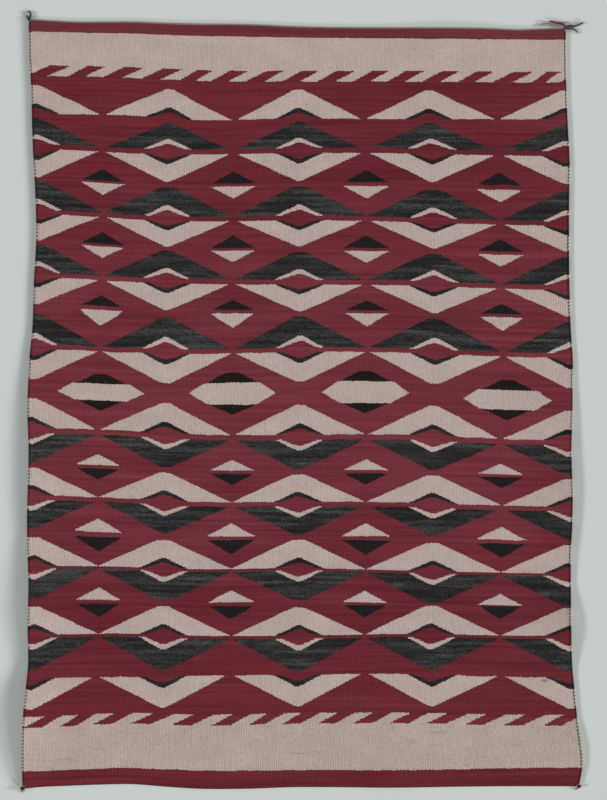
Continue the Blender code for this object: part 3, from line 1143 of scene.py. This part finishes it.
@dataclass
class WovenField:
    """The cloth: ribbed by its warps, rippled at its edges, closed by a flat underside."""

    cloth: ClothPlan
    plan: ChartPlan
    columns_per_warp: int = 3
    rib_depth: float = 0.5 * MM
    edge_round: float = 1.6 * MM
    edge_start: float = 0.7
    corner_cut: float = 2.0 * MM
    under_columns: int = 40
    under_inset: float = 0.8 * MM
    flat_size: tuple[float, float] = (1.294, 1.8225)
    map_margin: float = 0.008
    map_length: float = 0.984
    map_upper_width: float = 0.714
    map_under_start: float = 0.735
    map_under_width: float = 0.257
    map_rim: float = 0.005

    def laid(self, across: np.ndarray, chart: np.ndarray) -> tuple[np.ndarray, ...]:
        """Lays a grid of the cloth on the floor plan.

        Args:
            across: Shares across, one for each column.
            chart: Chart heights, one for each row.

        Returns:
            x, y, the share along, and the distance from the nearest edge, each a grid.
        """
        y = self.plan.height(across, chart)
        shares = np.broadcast_to(across, y.shape)
        along = np.clip(self.cloth.share_along(shares, y), 0, 1)
        x, y = self.cloth.point(shares, along)
        left, right = self.cloth.sides((along - 0.5) * self.cloth.nominal_length)
        bottom, top = self.cloth.ends((shares - 0.5) * self.cloth.nominal_width)
        from_side, from_end = np.minimum(x - left, right - x), np.minimum(y - bottom, top - y)
        to_corner = from_side + from_end
        short = np.clip(2 * self.corner_cut - to_corner, 0, None) / 4
        x = x + np.where(shares < 0.5, short, -short)
        y = y + np.where(along < 0.5, short, -short)
        return x, y, along, np.minimum(from_side, from_end)

    def upper(self) -> tuple[np.ndarray, np.ndarray, np.ndarray, np.ndarray]:
        """The upper side's points, warps, charts and map places, as grids."""
        columns = WARPS * self.columns_per_warp + 1
        across = np.linspace(0, 1, columns)
        chart = self.plan.mesh_rows()
        x, y, along, inset = self.laid(across, chart)
        part = 1 - np.clip(inset / self.edge_round, 0, 1)
        profile = self.edge_start + (1 - self.edge_start) * np.sqrt(1 - part**2)
        shares = np.broadcast_to(across, x.shape)
        lift = self.cloth.lift(shares, along)
        valley = np.arange(columns) % self.columns_per_warp == 0
        z = lift + (self.cloth.surface(shares, along) - lift) * profile - self.rib_depth * valley * profile
        warp = np.broadcast_to(across * WARPS, x.shape)
        charts = np.broadcast_to(chart[:, None], x.shape)
        across_map = self.map_margin + self.map_upper_width * shares
        places = np.stack([across_map, self.map_margin + self.map_length * along], axis=-1)
        return np.stack([x, y, z], axis=-1), warp, charts, places

    def under(self) -> tuple[np.ndarray, np.ndarray, np.ndarray, np.ndarray]:
        """The underside's points, warps, charts and map places, as grids."""
        across = np.linspace(0, 1, self.under_columns + 1)
        chart = self.plan.knots()
        x, y, along, _ = self.laid(across, chart)
        shares = np.broadcast_to(across, x.shape)
        z = self.cloth.lift(shares, along)
        x[:, 0] += self.under_inset
        x[:, -1] -= self.under_inset
        y[0] += self.under_inset
        y[-1] -= self.under_inset
        warp = np.broadcast_to(across * WARPS, x.shape)
        charts = np.broadcast_to(chart[:, None], x.shape)
        across_map = self.map_under_start + self.map_under_width * shares
        places = np.stack([across_map, self.map_margin + self.map_length * along], axis=-1)
        return np.stack([x, y, z], axis=-1), warp, charts, places

    @staticmethod
    def laced(above: np.ndarray, below: np.ndarray, points: np.ndarray) -> list[tuple[int, int, int]]:
        """Closes the rim between two rows of points that run the same way.

        Args:
            above: The upper row's point numbers.
            below: The lower row's.
            points: All points.

        Returns:
            Triangles between the two rows.
        """
        axis = int(np.argmax(np.abs(points[above[-1]] - points[above[0]])))
        first, last = points[above[0]][axis], points[above[-1]][axis]
        shares = [(points[row][:, axis] - first) / (last - first) for row in (above, below)]
        shares[1] = np.linspace(0, 1, len(below)) if axis == 0 else shares[1]
        found = []
        i = j = 0
        while i < len(above) - 1 or j < len(below) - 1:
            step_above = j == len(below) - 1 or (
                i < len(above) - 1 and shares[0][i + 1] <= shares[1][j + 1]
            )
            if step_above:
                found.append((above[i], above[i + 1], below[j]))
                i += 1
            else:
                found.append((above[i], below[j + 1], below[j]))
                j += 1
        return found

    @staticmethod
    def quads(rows: int, columns: int, start: int) -> np.ndarray:
        """The four-sided faces of a grid whose points are numbered from start."""
        at = start + np.arange(rows * columns).reshape(rows, columns)
        corners = [at[:-1, :-1], at[:-1, 1:], at[1:, 1:], at[1:, :-1]]
        return np.stack([c.ravel() for c in corners], axis=-1)

    def mesh(self) -> bpy.types.Mesh:
        """Weaves the closed mesh."""
        upper, under = self.upper(), self.under()
        grids = [upper[0].shape[:2], under[0].shape[:2]]
        start = grids[0][0] * grids[0][1]
        points = np.concatenate([upper[0].reshape(-1, 3), under[0].reshape(-1, 3)])
        above = np.arange(start).reshape(grids[0])
        below = start + np.arange(grids[1][0] * grids[1][1]).reshape(grids[1])
        top_faces = self.quads(*grids[0], 0)
        under_faces = self.quads(*grids[1], start)[:, ::-1]
        rim = []
        edges = (
            (above[0], below[0]),
            (above[:, -1], below[:, -1]),
            (above[-1], below[-1]),
            (above[:, 0], below[:, 0]),
        )
        for row, lower in edges:
            rim += self.laced(row, lower, points)
        data = bpy.data.meshes.new("woven_cloth")
        faces = [*map(tuple, under_faces.tolist()), *map(tuple, top_faces.tolist()), *rim]
        data.from_pydata(points.tolist(), [], faces)
        turned = bmesh.new()
        turned.from_mesh(data)
        bmesh.ops.recalc_face_normals(turned, faces=turned.faces)
        turned.to_mesh(data)
        turned.free()
        warp = np.concatenate([upper[1].ravel(), under[1].ravel()])
        chart = np.concatenate([upper[2].ravel(), under[2].ravel()])
        keep_numbers(data, self.plan.numbers(points[:, 0], warp, chart))
        self.map_out(data, upper[3], under[3], len(under_faces))
        return data

    def map_out(self, data: bpy.types.Mesh, upper: np.ndarray, under: np.ndarray, under_faces: int) -> None:
        """Spreads the mesh on a flat map: the upper side and rim on the left, the underside on the right.

        Args:
            data: The mesh.
            upper: The upper side's map places.
            under: The underside's.
            under_faces: How many of the first faces are the underside's.
        """
        rim = under.copy()
        from_start = under[..., 0] - self.map_under_start
        rim[..., 0] = self.map_margin + self.map_upper_width * from_start / self.map_under_width
        rim[:, 0, 0] -= self.map_rim
        rim[:, -1, 0] += self.map_rim
        rim[0, :, 1] -= self.map_rim
        rim[-1, :, 1] += self.map_rim
        outer = np.concatenate([upper.reshape(-1, 2), rim.reshape(-1, 2)])
        inner = np.concatenate([upper.reshape(-1, 2), under.reshape(-1, 2)])
        corners = np.empty(len(data.loops), np.int32)
        data.loops.foreach_get("vertex_index", corners)
        starts = np.empty(len(data.polygons), np.int32)
        data.polygons.foreach_get("loop_start", starts)
        below = np.arange(len(corners)) < starts[under_faces]
        places = np.where(below[:, None], inner[corners], outer[corners])
        layer = data.uv_layers.new(name=BAKE_MAP)
        layer.data.foreach_set("uv", places.astype(np.float32).ravel())

    def build(self, basket: Basket) -> bpy.types.Object:
        """Builds and dresses the cloth.

        Args:
            basket: The materials.

        Returns:
            The piece.
        """
        data = self.mesh()
        data.materials.append(basket.chart())
        data.shade_smooth()
        piece = add_piece("woven_cloth", data, "field_wool", "woven_field")
        LOG.info("%s: %d warps, %d faces", piece.name, WARPS, len(data.polygons))
        return piece


class YarnMesh:
    """Gathers round yarns into one mesh.

    A twisted ply's offset and radius are shares of its yarn's radius.
    """

    PLY_OFFSET = 0.46
    PLY_RADIUS = 0.56

    def __init__(self, name: str, plan: ChartPlan) -> None:
        """Starts an empty mesh of this name, for yarns on this chart."""
        self.name = name
        self.plan = plan
        self.points: list[np.ndarray] = []
        self.faces: list[tuple[int, ...]] = []
        self.slots: list[int] = []
        self.warps: list[np.ndarray] = []
        self.charts: list[np.ndarray] = []
        self.count = 0

    def tube(
        self,
        route: np.ndarray,
        radius: np.ndarray | float,
        slot: int,
        sides: int = 6,
        guide: np.ndarray | None = None,
        warp: float = 0.0,
        chart: np.ndarray | float = 0.0,
    ) -> None:
        """Adds one closed tube along a route.

        Args:
            route: Its middle points.
            radius: Its radius, or one at each point.
            slot: Its material's number.
            sides: How many sides it has.
            guide: A direction across the route at each point, or None for one that turns as little as it can.
            warp: The warp it belongs to.
            chart: The chart height it belongs to, or one at each point.
        """
        runs = unit(np.gradient(route, axis=0))
        across = self.beside(runs) if guide is None else unit(guide - (guide * runs).sum(1)[:, None] * runs)
        up = np.cross(runs, across)
        angles = np.linspace(0, 2 * np.pi, sides, endpoint=False)
        size = np.broadcast_to(radius, len(route))[:, None, None]
        ring = np.cos(angles)[None, :, None] * across[:, None] + np.sin(angles)[None, :, None] * up[:, None]
        points = route[:, None] + ring * size
        at = self.count + np.arange(len(route) * sides).reshape(len(route), sides)
        following = np.roll(at, -1, axis=1)
        quads = np.stack([at[:-1], following[:-1], following[1:], at[1:]], axis=-1).reshape(-1, 4)
        faces = [*map(tuple, quads.tolist()), tuple(at[0, ::-1].tolist()), tuple(at[-1].tolist())]
        self.points.append(points.reshape(-1, 3))
        self.faces += faces
        self.slots += [slot] * len(faces)
        self.warps.append(np.full(len(route) * sides, warp))
        self.charts.append(np.repeat(np.broadcast_to(chart, len(route)), sides))
        self.count += len(route) * sides

    @staticmethod
    def beside(runs: np.ndarray) -> np.ndarray:
        """Directions across a route that turn as little as they can along it."""
        start = np.cross(runs[0], (0.0, 0.0, 1.0))
        if np.linalg.norm(start) < 0.1:
            start = np.cross(runs[0], (1.0, 0.0, 0.0))
        found = [start]
        for run in runs[1:]:
            found.append(found[-1] - run * float(found[-1] @ run))
        return unit(np.array(found))

    def yarn(self, route: np.ndarray, radius: np.ndarray, slot: int, pitch: float, plies: int = 2) -> None:
        """Adds a yarn of twisted plies.

        Args:
            route: Its middle points.
            radius: Its radius at each point.
            slot: Its material's number.
            pitch: The length of one turn.
            plies: How many plies are twisted.
        """
        runs = unit(np.gradient(route, axis=0))
        across = self.beside(runs)
        up = np.cross(runs, across)
        steps = np.linalg.norm(np.diff(route, axis=0), axis=1)
        turn = 2 * np.pi * np.concatenate([[0], np.cumsum(steps)]) / pitch
        for number in range(plies):
            angle = (turn + 2 * np.pi * number / plies)[:, None]
            radial = np.cos(angle) * across + np.sin(angle) * up
            offset = (radius * self.PLY_OFFSET)[:, None]
            self.tube(route + radial * offset, radius * self.PLY_RADIUS, slot, guide=radial)

    def done(self, materials: list[bpy.types.Material]) -> bpy.types.Mesh:
        """Makes the mesh.

        Args:
            materials: One for each slot.

        Returns:
            The mesh, smooth and with its chart numbers.
        """
        data = bpy.data.meshes.new(self.name)
        points = np.concatenate(self.points)
        data.from_pydata(points.tolist(), [], self.faces)
        for material in materials:
            data.materials.append(material)
        data.polygons.foreach_set("material_index", np.array(self.slots, np.int32))
        warp, chart = np.concatenate(self.warps), np.concatenate(self.charts)
        keep_numbers(data, self.plan.numbers(points[:, 0], warp, chart))
        data.shade_smooth()
        return data


class Ply(NamedTuple):
    """One ply of a cord: its wool, or None for that of the weft beside it, and its share of the radius."""

    wool: Wool | None
    share: float


@dataclass
class TwistedCord:
    """A cord of two plies twisted together along one edge of the cloth."""

    name: str
    edge: Side | End
    plan: ChartPlan
    slot: str
    plies: tuple[Ply, Ply]
    pitch: float
    first: float
    last: float
    hand: int = 1
    steps_per_turn: int = 8
    grip: float = 1.3 * MM
    edge_warp: float = 1.5

    @property
    def radius(self) -> float:
        """The cord's radius."""
        cloth = self.plan.cloth
        return cloth.side_cord_radius if isinstance(self.edge, Side) else cloth.end_cord_radius

    def route(self) -> tuple[np.ndarray, np.ndarray]:
        """The cord's middle points and the directions outward from the cloth."""
        cloth = self.plan.cloth
        along_side = isinstance(self.edge, Side)
        size = cloth.nominal_length if along_side else cloth.nominal_width
        count = int(size / self.pitch * self.steps_per_turn)
        run = np.linspace(self.first / size, 1 - self.last / size, count)
        held = np.full(count, float(self.edge.value))
        across, along = (held, run) if along_side else (run, held)
        x, y = cloth.point(across, along)
        plan = np.stack([x, y], axis=1)
        runs = unit(np.gradient(plan, axis=0))
        outward = np.stack([runs[:, 1], -runs[:, 0]], axis=1)
        turned = self.edge in (Side.LEFT, End.TOP)
        outward = -outward if turned else outward
        middle = plan + outward * (GAP + self.radius - self.grip)
        height = cloth.lift(across, along) + self.radius
        return np.column_stack([middle, height]), np.column_stack([outward, np.zeros(count)])

    def build(self, basket: Basket) -> bpy.types.Object:
        """Twists and dresses the cord.

        Args:
            basket: The materials.

        Returns:
            The piece.
        """
        route, outward = self.route()
        steps = np.linalg.norm(np.diff(route, axis=0), axis=1)
        distance = np.concatenate([[0], np.cumsum(steps)])
        mesh = YarnMesh(self.name, self.plan)
        up = np.array([0.0, 0.0, 1.0])
        share = float(self.edge.value) if isinstance(self.edge, Side) else 0.5
        chart = self.plan.chart_at(share, route[:, 1])
        warp = self.edge_warp if self.edge is Side.LEFT else WARPS - self.edge_warp
        for number, ply in enumerate(self.plies):
            angle = (self.hand * 2 * np.pi * distance / self.pitch + np.pi * number)[:, None]
            radial = np.cos(angle) * outward + np.sin(angle) * up
            thick = self.radius * ply.share
            centre = route + radial * (self.radius - thick)
            mesh.tube(centre, thick, number, guide=radial, warp=warp, chart=chart)
        materials = [basket.chart() if ply.wool is None else basket.yarn(ply.wool) for ply in self.plies]
        piece = add_piece(f"twisted_{self.name}", mesh.done(materials), self.slot, self.name)
        LOG.info("%s: %.3f m of cord, a turn every %.1f mm", piece.name, distance[-1], self.pitch / MM)
        return piece


@dataclass
class CornerKnot:
    """A corner where the cords' ends are knotted, with its loose yarn ends."""

    name: str
    node: str
    side: Side
    end: End
    half_width: float
    half_length: float
    height: float
    wool: Wool
    slot: str
    strands: tuple[Strand, ...]
    plan: ChartPlan
    turns: float = 5.5
    yarn_radius: float = 1.15
    yarn_pitch: float = 3.4
    steps_per_turn: int = 16
    core_share: float = 0.62
    core_girth: float = 0.7
    strand_step: float = 0.55
    strand_pitch: float = 7.5
    strand_plies: int = 3
    strand_taper: float = 0.25
    frays: int = 6
    fray_length: tuple[float, float] = (2.0, 5.0)
    fray_sway: float = 0.7
    fray_curl: float = 0.3
    fray_radius: float = 0.16
    fuzz: int = 14
    fuzz_step: tuple[float, float] = (0.25, 0.75)
    fuzz_bend: float = 2.2
    fuzz_radius: float = 0.11
    seed: int = 1

    def middle(self) -> np.ndarray:
        """The floor point of the corner where two cords meet."""
        cloth = self.plan.cloth
        x, y = cloth.point(np.array(float(self.side.value)), np.array(float(self.end.value)))
        outward = np.array([1 if self.side is Side.RIGHT else -1, 1 if self.end is End.TOP else -1])
        reach = np.array([GAP + cloth.side_cord_radius, GAP + cloth.end_cord_radius])
        return np.array([float(x), float(y), 0.0]) + np.array([*(outward * reach), 0.0])

    def lump(self, mesh: YarnMesh) -> None:
        """Winds the knot itself: yarn passed round and over itself."""
        radius = self.yarn_radius
        half = np.array([self.half_width, self.half_length, self.height / 2]) - radius
        share = np.linspace(0, 1, int(self.turns * self.steps_per_turn))
        angle = 2 * np.pi * self.turns * share
        lean = 0.25 + 2.6 * share
        ring = np.stack([np.cos(angle), np.sin(angle) * np.cos(lean), np.sin(angle) * np.sin(lean)], axis=1)
        swell = 0.94 + 0.06 * np.sin(7 * share * np.pi)
        route = ring * half * swell[:, None] + (0, 0, self.height / 2)
        mesh.yarn(route * MM + self.middle(), np.full(len(route), radius * MM), 0, pitch=self.yarn_pitch * MM)
        reach = np.linspace(-self.core_share, self.core_share, 7)
        core = reach[:, None] * np.array([self.half_width, 0.0, 0.0])
        rounding = np.sqrt(1 - np.linspace(-0.8, 0.8, 7) ** 2)
        girth = self.core_girth * min(self.half_length, self.height / 2) * rounding
        mesh.tube(core * MM + self.middle() + (0, 0, self.height / 2 * MM), girth * MM, 0, sides=8)

    def strand_route(self, strand: Strand) -> np.ndarray:
        """A strand's smooth middle line, which leaves the knot and comes down to lie on the floor."""
        plan = np.array(strand.points, float)
        heights = np.full(len(plan), strand.thickness / 2)
        heights[0] = self.height * 0.5
        marks = np.concatenate([[0], np.cumsum(np.linalg.norm(np.diff(plan, axis=0), axis=1))])
        at = np.arange(0, marks[-1], self.strand_step)
        points = np.column_stack([smooth_through(marks, line, at) for line in (*plan.T, heights)])
        points[:, 2] = np.maximum(points[:, 2], strand.thickness / 2)
        return points * MM + self.middle()

    def frayed(self, mesh: YarnMesh, route: np.ndarray, slot: int, dice: np.random.Generator) -> None:
        """Frays the last part of a strand into fine fibres.

        Args:
            mesh: The mesh that the fibres join.
            route: The strand's middle line.
            slot: Its material's number.
            dice: The seeded dice.
        """
        run = route[-1] - route[-4]
        run /= np.linalg.norm(run)
        beside = np.array([-run[1], run[0], 0.0])
        for _ in range(self.frays):
            length = dice.uniform(*self.fray_length) * MM
            part = np.linspace(0, 1, 7)[:, None]
            sway = dice.uniform(-1, 1) * self.fray_sway * part**1.6
            sway += dice.uniform(-self.fray_curl, self.fray_curl) * np.sin(4 * part)
            fibre = route[-3] + (run * part + beside * sway) * length
            fibre[:, 2] = np.maximum(fibre[:, 2] * (1 - 0.5 * part[:, 0]), 0.2 * MM)
            mesh.tube(fibre, self.fray_radius * MM, slot, sides=4)

    def fuzzed(self, mesh: YarnMesh, route: np.ndarray, slot: int, dice: np.random.Generator) -> None:
        """Sets short loose fibres along a strand or round the knot.

        Args:
            mesh: The mesh that the fibres join.
            route: The line they stand on.
            slot: Their material's number.
            dice: The seeded dice.
        """
        for _ in range(self.fuzz):
            root = route[dice.integers(1, len(route) - 1)]
            way = dice.uniform(0, 2 * np.pi)
            bend = dice.uniform(-self.fuzz_bend, self.fuzz_bend)
            part = np.linspace(0, 1, 8)
            heading = way + bend * part
            step = dice.uniform(*self.fuzz_step) * MM
            walk = np.stack([np.cos(heading), np.sin(heading)], axis=1) * step
            fibre = np.column_stack([np.cumsum(walk, axis=0) + root[:2], np.full(8, root[2])])
            fibre[:, 2] = np.maximum(root[2] * (1 - 0.6 * part), 0.15 * MM)
            mesh.tube(fibre, self.fuzz_radius * MM, slot, sides=3)

    def build(self, basket: Basket) -> bpy.types.Object:
        """Winds and dresses the knot and its strands.

        Args:
            basket: The materials.

        Returns:
            The piece.
        """
        dice = np.random.default_rng(self.seed)
        mesh = YarnMesh(self.name, self.plan)
        self.lump(mesh)
        wools = [self.wool]
        for strand in self.strands:
            wool = strand.wool or self.wool
            if wool not in wools:
                wools.append(wool)
            slot = wools.index(wool)
            route = self.strand_route(strand)
            part = np.linspace(0, 1, len(route))
            radius = strand.thickness / 2 * (1 - self.strand_taper * part**4) * MM
            mesh.yarn(route, radius, slot, pitch=self.strand_pitch * MM, plies=self.strand_plies)
            self.frayed(mesh, route, slot, dice)
            self.fuzzed(mesh, route, slot, dice)
        materials = [basket.yarn(wool) for wool in wools]
        piece = add_piece(self.name, mesh.done(materials), self.slot, self.node)
        LOG.info("%s: %d strands", piece.name, len(self.strands))
        return piece


@dataclass
class Studio:
    """The plain pale floor, the soft light, and the camera straight above the rug."""

    floor_half: float = 12.0
    floor_drop: float = 0.6 * MM
    floor_colour: Colour = (0.70, 0.745, 0.715)
    floor_roughness: float = 0.85
    floor_cloud: float = 300.0
    floor_grain: float = 3.0
    floor_relief: float = 0.05 * MM
    sky: Colour = (0.97, 1.0, 0.99)
    sky_strength: float = 0.235
    camera_at: tuple[float, float, float] = (0.0084, 0.012, 6.0)
    sensor: float = 36.0
    seen_height: float = 1.92

    def floor(self) -> bpy.types.Object:
        """Lays the floor, just under the rug."""
        data = bpy.data.meshes.new("studio_floor")
        half = self.floor_half
        corners = [(-half, -half), (half, -half), (half, half), (-half, half)]
        data.from_pydata([(x, y, -self.floor_drop) for x, y in corners], [], [(0, 1, 2, 3)])
        shader = WoolShader("studio_floor", self.floor_roughness, 0.0)
        x, y, _ = shader.place()
        cloud = shader.noise(x / self.floor_cloud, y / self.floor_cloud, 1.0, detail=2.0)
        worn = tuple(0.985 * c for c in self.floor_colour)
        colour = shader.mixed(cloud, self.floor_colour, worn)
        grain = shader.noise(x / self.floor_grain, y / self.floor_grain, 2.0, detail=2.0)
        light = grain * 0.02 + 0.99
        rough = grain * 0.05 + self.floor_roughness
        data.materials.append(shader.finished(colour, light, grain, rough, self.floor_relief))
        floor = bpy.data.objects.new("studio_floor", data)
        bpy.context.scene.collection.objects.link(floor)
        return floor

    def sun(self, name: str, towards: tuple[float, float, float], strength: float, spread: float) -> None:
        """Adds one soft far light.

        Args:
            name: Its name.
            towards: The way that it shines.
            strength: How strong it is.
            spread: How wide it looks from the rug, in degrees, which softens its shadows.
        """
        data = bpy.data.lights.new(name, "SUN")
        data.energy = strength
        data.angle = math.radians(spread)
        light = bpy.data.objects.new(name, data)
        light.rotation_euler = Vector(towards).to_track_quat("-Z", "Y").to_euler()
        bpy.context.scene.collection.objects.link(light)

    def build(self) -> None:
        """Sets up the floor, the light and the camera."""
        scene = bpy.context.scene
        scene.view_settings.view_transform = "Standard"
        self.floor()
        world = bpy.data.worlds.new("studio")
        world.use_nodes = True
        background = world.node_tree.nodes["Background"]
        background.inputs["Color"].default_value = (*self.sky, 1.0)
        background.inputs["Strength"].default_value = self.sky_strength
        scene.world = world
        self.sun("right", towards=(-0.96, 0.03, -0.22), strength=3.05, spread=9.0)
        self.sun("lower_right", towards=(-0.70, 0.66, -0.26), strength=1.6, spread=9.0)
        self.sun("left", towards=(0.93, 0.12, -0.34), strength=2.12, spread=8.0)
        data = bpy.data.cameras.new("above")
        data.type = "PERSP"
        data.sensor_width = self.sensor
        distance = self.camera_at[2] - ClothPlan.thickness
        data.lens = self.sensor * distance / self.seen_height
        camera = bpy.data.objects.new("above", data)
        camera.location = self.camera_at
        scene.collection.objects.link(camera)
        scene.camera = camera
        LOG.info("studio: lens %.1f mm", data.lens)


def corners(plan: ChartPlan) -> list[CornerKnot]:
    """The rug's four corners."""
    return [
        CornerKnot(
            name="tuft_top_left",
            node="corner_tuft_top_left",
            side=Side.LEFT,
            end=End.TOP,
            half_width=4.0,
            half_length=4.4,
            height=6.0,
            wool=Wool.DARK,
            slot="dark_yarn",
            strands=(
                Strand(points=((0, 0), (3.5, 7.5), (4.2, 12.5), (2.0, 17.5), (-2.8, 19.5)), thickness=5.0),
                Strand(points=((0, 0), (-4.2, 4.6), (-6.8, 8.4)), thickness=4.2),
            ),
            plan=plan,
            seed=11,
        ),
        CornerKnot(
            name="tassel_top_right",
            node="corner_tassel_top_right",
            side=Side.RIGHT,
            end=End.TOP,
            half_width=4.6,
            half_length=6.0,
            height=7.0,
            wool=Wool.RED,
            slot="red_yarn",
            strands=(
                Strand(points=((0, 1), (-8, 9.5), (-20, 11.5), (-30, 14.5), (-38, 16.0)), thickness=5.4),
                Strand(
                    points=((0, 2), (-6, 5.8), (-20, 5.2), (-34, 5.4), (-45, 9.5), (-56, 9.8), (-64, 5.6)),
                    thickness=4.0,
                    wool=Wool.GREY,
                ),
                Strand(
                    points=((0, 1), (9, 4.5), (19, 3.5), (30, 7.5), (42, 13.5)),
                    thickness=4.8,
                    wool=Wool.DARK,
                ),
                Strand(
                    points=((0, -1), (9, -1.5), (18, -2.5), (25, -6.0), (29, -10.5)),
                    thickness=4.2,
                    wool=Wool.DARK,
                ),
                Strand(
                    points=((-1, 1), (-2.5, 9.5), (-0.5, 14.5), (4.0, 13.0)),
                    thickness=3.4,
                    wool=Wool.GREY,
                ),
            ),
            plan=plan,
            seed=12,
        ),
        CornerKnot(
            name="knot_bottom_left",
            node="corner_knot_bottom_left",
            side=Side.LEFT,
            end=End.BOTTOM,
            half_width=6.4,
            half_length=6.0,
            height=9.0,
            wool=Wool.DARK,
            slot="dark_yarn",
            strands=(Strand(points=((0, 0), (-3.0, -5.5), (-1.0, -9.0)), thickness=2.6),),
            plan=plan,
            seed=13,
        ),
        CornerKnot(
            name="knot_bottom_right",
            node="corner_knot_bottom_right",
            side=Side.RIGHT,
            end=End.BOTTOM,
            half_width=5.6,
            half_length=5.2,
            height=8.0,
            wool=Wool.DEEP_RED,
            slot="red_yarn",
            strands=(Strand(points=((0, 0), (-3.5, -5.0), (-7.5, -7.0)), thickness=3.2),),
            plan=plan,
            seed=14,
        ),
    ]


def cords(plan: ChartPlan, knots: list[CornerKnot]) -> list[TwistedCord]:
    """The four edge cords.

    Args:
        plan: The chart as it lies on the rug.
        knots: The corners that the cords run between.

    Returns:
        The left, right, bottom and top cord.
    """
    cloth = plan.cloth
    at = {(knot.side, knot.end): knot for knot in knots}
    found = []
    for side in Side:
        found.append(
            TwistedCord(
                name=f"side_cord_{side.name.lower()}",
                edge=side,
                plan=plan,
                slot="side_cord_wool",
                plies=(Ply(Wool.BLACK, 0.46), Ply(None, 0.70)),
                pitch=8.3 * MM,
                first=at[side, End.BOTTOM].half_length * MM - cloth.end_cord_radius,
                last=at[side, End.TOP].half_length * MM - cloth.end_cord_radius,
                hand=1 if side is Side.LEFT else -1,
            )
        )
    twined = (
        (End.BOTTOM, 8.4, (Ply(Wool.DEEP_RED, 0.8), Ply(Wool.DEEP_RED, 0.5))),
        (End.TOP, 4.2, (Ply(Wool.RED, 0.74), Ply(Wool.PALE, 0.42))),
    )
    for end, pitch, plies in twined:
        found.append(
            TwistedCord(
                name=f"end_cord_{end.name.lower()}",
                edge=end,
                plan=plan,
                slot="end_cord_wool",
                plies=plies,
                pitch=pitch * MM,
                first=at[Side.LEFT, end].half_width * MM - cloth.side_cord_radius,
                last=at[Side.RIGHT, end].half_width * MM - cloth.side_cord_radius,
            )
        )
    return found


def main() -> None:
    """Builds the rug and its studio, in order."""
    logging.basicConfig(level=logging.INFO, format="%(message)s")
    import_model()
    cloth = ClothPlan()
    plan = ChartPlan(cloth)
    basket = Basket()
    Studio().build()
    field_piece = WovenField(cloth, plan)
    rug = field_piece.build(basket)
    knots = corners(plan)
    pieces = [cord.build(basket) for cord in cords(plan, knots)]
    pieces += [knot.build(basket) for knot in knots]
    LOG.info("size written")


if __name__ == "__main__":
    main()
